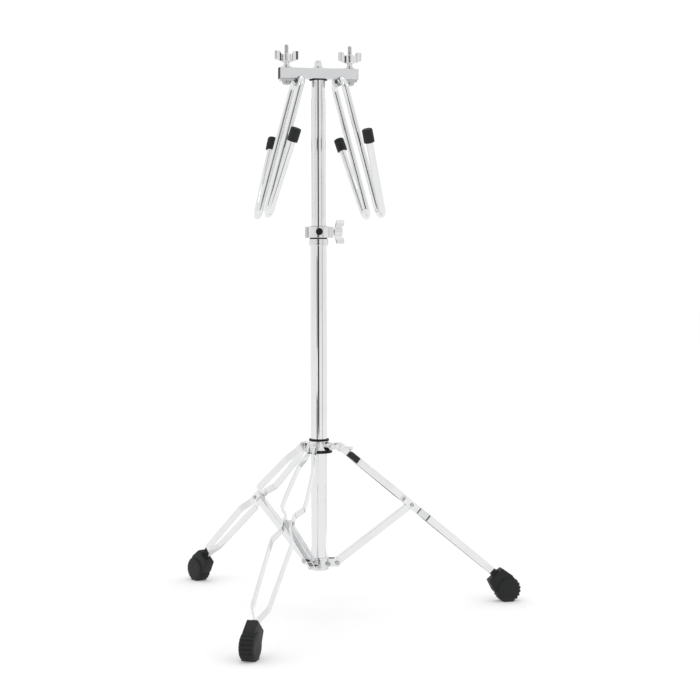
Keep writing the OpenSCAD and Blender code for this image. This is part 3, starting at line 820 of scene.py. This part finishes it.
def stage_plane(name, corners, mat, camera=True):
    """A flat card in the studio; only reflections see it when camera is off."""
    mesh = bpy.data.meshes.new(name)
    mesh.from_pydata(corners, [], [tuple(range(len(corners)))])
    mesh.materials.append(mat)
    obj = bpy.data.objects.new(name, mesh)
    bpy.context.collection.objects.link(obj)
    if not camera:
        obj.visible_camera = False
        obj.visible_shadow = False
        obj.visible_diffuse = False
    return obj


floor_mat = bpy.data.materials.new("studio_floor")
floor_mat.use_nodes = True
fb = floor_mat.node_tree.nodes["Principled BSDF"]
fb.inputs["Base Color"].default_value = (0.93, 0.93, 0.93, 1)
fb.inputs["Roughness"].default_value = 0.9
fb.inputs["Specular IOR Level"].default_value = 0.0
fb.inputs["Emission Color"].default_value = (1, 1, 1, 1)
fb.inputs["Emission Strength"].default_value = 0.09
stage_plane("floor", [(-14, -14, 0), (14, -14, 0), (14, 14, 0), (-14, 14, 0)], floor_mat)

CAM_TURN, CAM_DOWN, CAM_ROLL = math.radians(12.1), math.radians(3.36), math.radians(-0.12)
CAM_DIST, CAM_HIGH = 2.58, 0.607
CAM_LENS, CAM_SHIFT_X, CAM_SHIFT_Y = 77.143, 0.04457, -0.00143


def round_camera(turn_deg, dist):
    """A floor place at an angle to the right of the camera's own direction, seen from the stand."""
    a = CAM_TURN - math.radians(turn_deg)
    return -math.sin(a) * dist, -math.cos(a) * dist


def flag_mat(name, grey):
    """A card of one even grey that takes no light."""
    m = bpy.data.materials.new(name)
    m.use_nodes = True
    b = m.node_tree.nodes["Principled BSDF"]
    b.inputs["Base Color"].default_value = (0, 0, 0, 1)
    b.inputs["Specular IOR Level"].default_value = 0.0
    b.inputs["Emission Color"].default_value = (grey, grey, grey, 1)
    b.inputs["Emission Strength"].default_value = 1.0
    return m


def flag(name, left, right, dist, low, high, grey):
    """A dark card that only reflections see, standing between two angles right of the camera."""
    x0, y0 = round_camera(left, dist)
    x1, y1 = round_camera(right, dist)
    return stage_plane(name, [(x0, y0, low), (x1, y1, low), (x1, y1, high), (x0, y0, high)],
                       flag_mat(name, grey), camera=False)


flag("flag_line", -13, 6.5, 2.7, 0.0, 1.28, 0.045)
flag("flag_line_top", -10, 6.5, 2.7, 1.28, 2.9, 0.03)
flag("flag_high_left", -36, -15, 2.7, 1.25, 2.3, 0.22)
flag("flag_above_left", -30, -17, 2.7, 2.95, 4.1, 0.03)
lying = [round_camera(turn_deg, dist) for turn_deg, dist in ((-33, 2.2), (-17, 2.2), (-17, 4.2), (-33, 4.2))]
stage_plane("flag_floor_left", [(x, y, 0.002) for x, y in lying], flag_mat("flag_floor_left", 0.08),
            camera=False)
flag("flag_low_left", -30, -13, 2.7, 0.30, 0.62, 0.42)
flag("flag_side", 47, 53, 2.4, 0.0, 2.2, 0.25)

world = bpy.data.worlds.new("studio")
bpy.context.scene.world = world
world.use_nodes = True
wt = world.node_tree
bg = wt.nodes["Background"]
bg.inputs["Strength"].default_value = 1.0
geo = wt.nodes.new("ShaderNodeTexCoord")
dot = wt.nodes.new("ShaderNodeVectorMath")
dot.operation = "DOT_PRODUCT"
dot.inputs[1].default_value = (math.sin(CAM_TURN), math.cos(CAM_TURN), 0.0)
wt.links.new(geo.outputs["Generated"], dot.inputs[0])
span = wt.nodes.new("ShaderNodeMapRange")
span.inputs["From Min"].default_value = -1.0
span.inputs["From Max"].default_value = 1.0
wt.links.new(dot.outputs["Value"], span.inputs["Value"])
ramp = wt.nodes.new("ShaderNodeValToRGB")
el = ramp.color_ramp.elements
el[0].position, el[0].color = 0.0, (0.93, 0.935, 0.94, 1)
el[1].position, el[1].color = 1.0, (1.04, 1.04, 1.04, 1)
for pos, g in ((0.25, 0.95), (0.55, 1.0)):
    e = el.new(pos)
    e.color = (g, g, g, 1)
wt.links.new(span.outputs["Result"], ramp.inputs["Fac"])
wt.links.new(ramp.outputs["Color"], bg.inputs["Color"])


def area(name, at, target, size, power):
    """A soft rectangular lamp aimed at a target."""
    light = bpy.data.lights.new(name, "AREA")
    light.shape = "RECTANGLE"
    light.size, light.size_y = size
    light.energy = power
    obj = bpy.data.objects.new(name, light)
    bpy.context.collection.objects.link(obj)
    obj.location = at
    obj.rotation_euler = (Vector(target) - Vector(at)).to_track_quat("-Z", "Y").to_euler()
    return obj


area("key", (-2.4, -2.2, 3.4), (0, 0, 0.3), (0.6, 0.6), 5)
area("fill", (2.8, -1.6, 2.8), (0, 0, 0.3), (0.5, 0.5), 2.5)
area("top", (0.3, 0.8, 3.8), (0, 0, 0.2), (0.8, 0.8), 4)

cam = bpy.data.cameras.new("camera")
cam.sensor_width = 36.0
cam.lens = CAM_LENS
cam.shift_x = CAM_SHIFT_X
cam.shift_y = CAM_SHIFT_Y
cam.clip_end = 60
camera = bpy.data.objects.new("camera", cam)
bpy.context.collection.objects.link(camera)
x, y = round_camera(0, CAM_DIST)
camera.location = (x, y, CAM_HIGH)
turn = Matrix.Rotation(-CAM_TURN, 3, "Z") @ Matrix.Rotation(math.pi / 2 - CAM_DOWN, 3, "X")
camera.rotation_euler = (turn @ Matrix.Rotation(CAM_ROLL, 3, "Z")).to_euler()
bpy.context.scene.camera = camera

view = bpy.context.scene.view_settings
view.view_transform = "Standard"
view.look = "None"
view.exposure = 0.0
